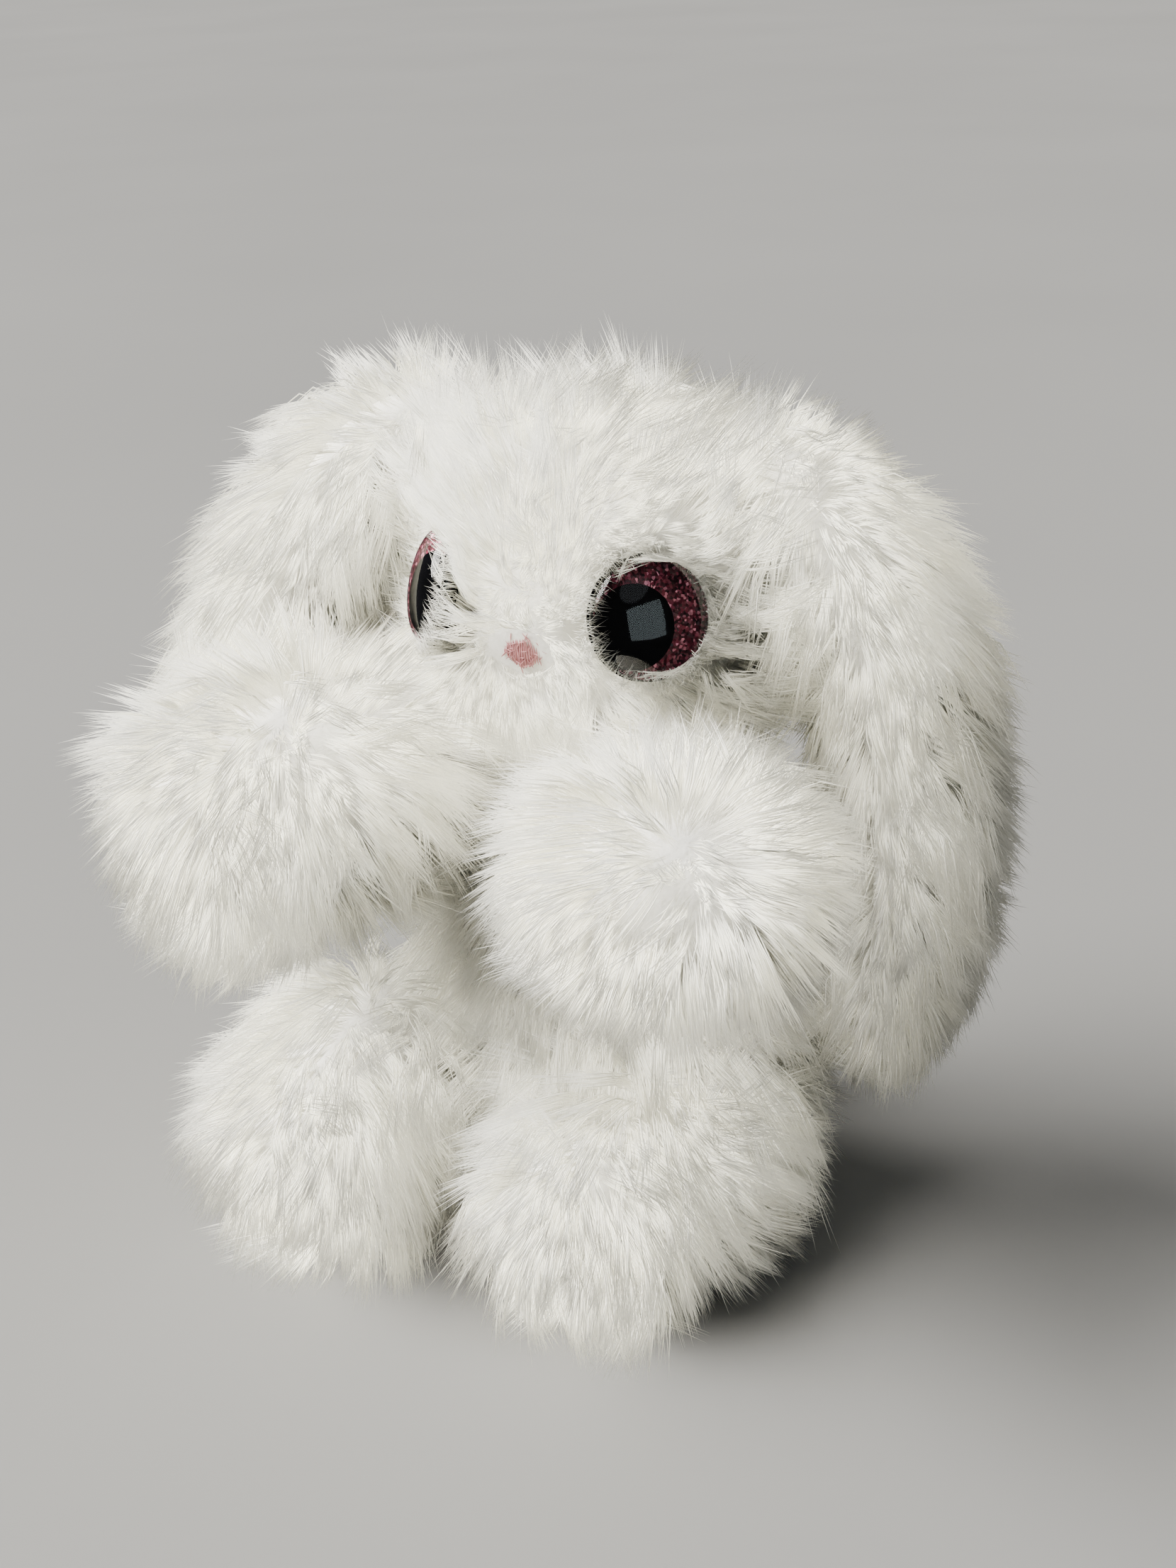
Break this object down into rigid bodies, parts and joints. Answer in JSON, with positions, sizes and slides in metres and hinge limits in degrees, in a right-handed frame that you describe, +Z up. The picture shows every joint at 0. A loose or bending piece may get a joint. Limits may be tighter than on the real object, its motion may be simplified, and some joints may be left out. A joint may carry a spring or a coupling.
{
  "type": "plush toy lop-eared rabbit",
  "caption": "Small white long-pile plush lop-eared rabbit toy, sitting with both arms raised, with domed glitter eyes and a stitched pink nose.",
  "frame": {"origin": "middle of the flat that the body sits on", "axes": "+Z up, the toy faces -Y, its own left side is +X"},
  "size_m": [0.1494, 0.1257, 0.1578],
  "materials": {
    "plush": "long brushed white pile",
    "eye": "clear dome over a glitter iris and black pupil",
    "nose_thread": "satin-stitched dusty pink thread"
  },
  "bodies": {
    "root": {"eye_left": "eye", "eye_right": "eye", "nose": "nose_thread", "head": "plush", "arm_left": "plush", "arm_right": "plush", "ear_left": "plush", "ear_right": "plush", "leg_left": "plush", "leg_right": "plush", "body": "plush", "tail": "plush"}
  },
  "joints": []
}
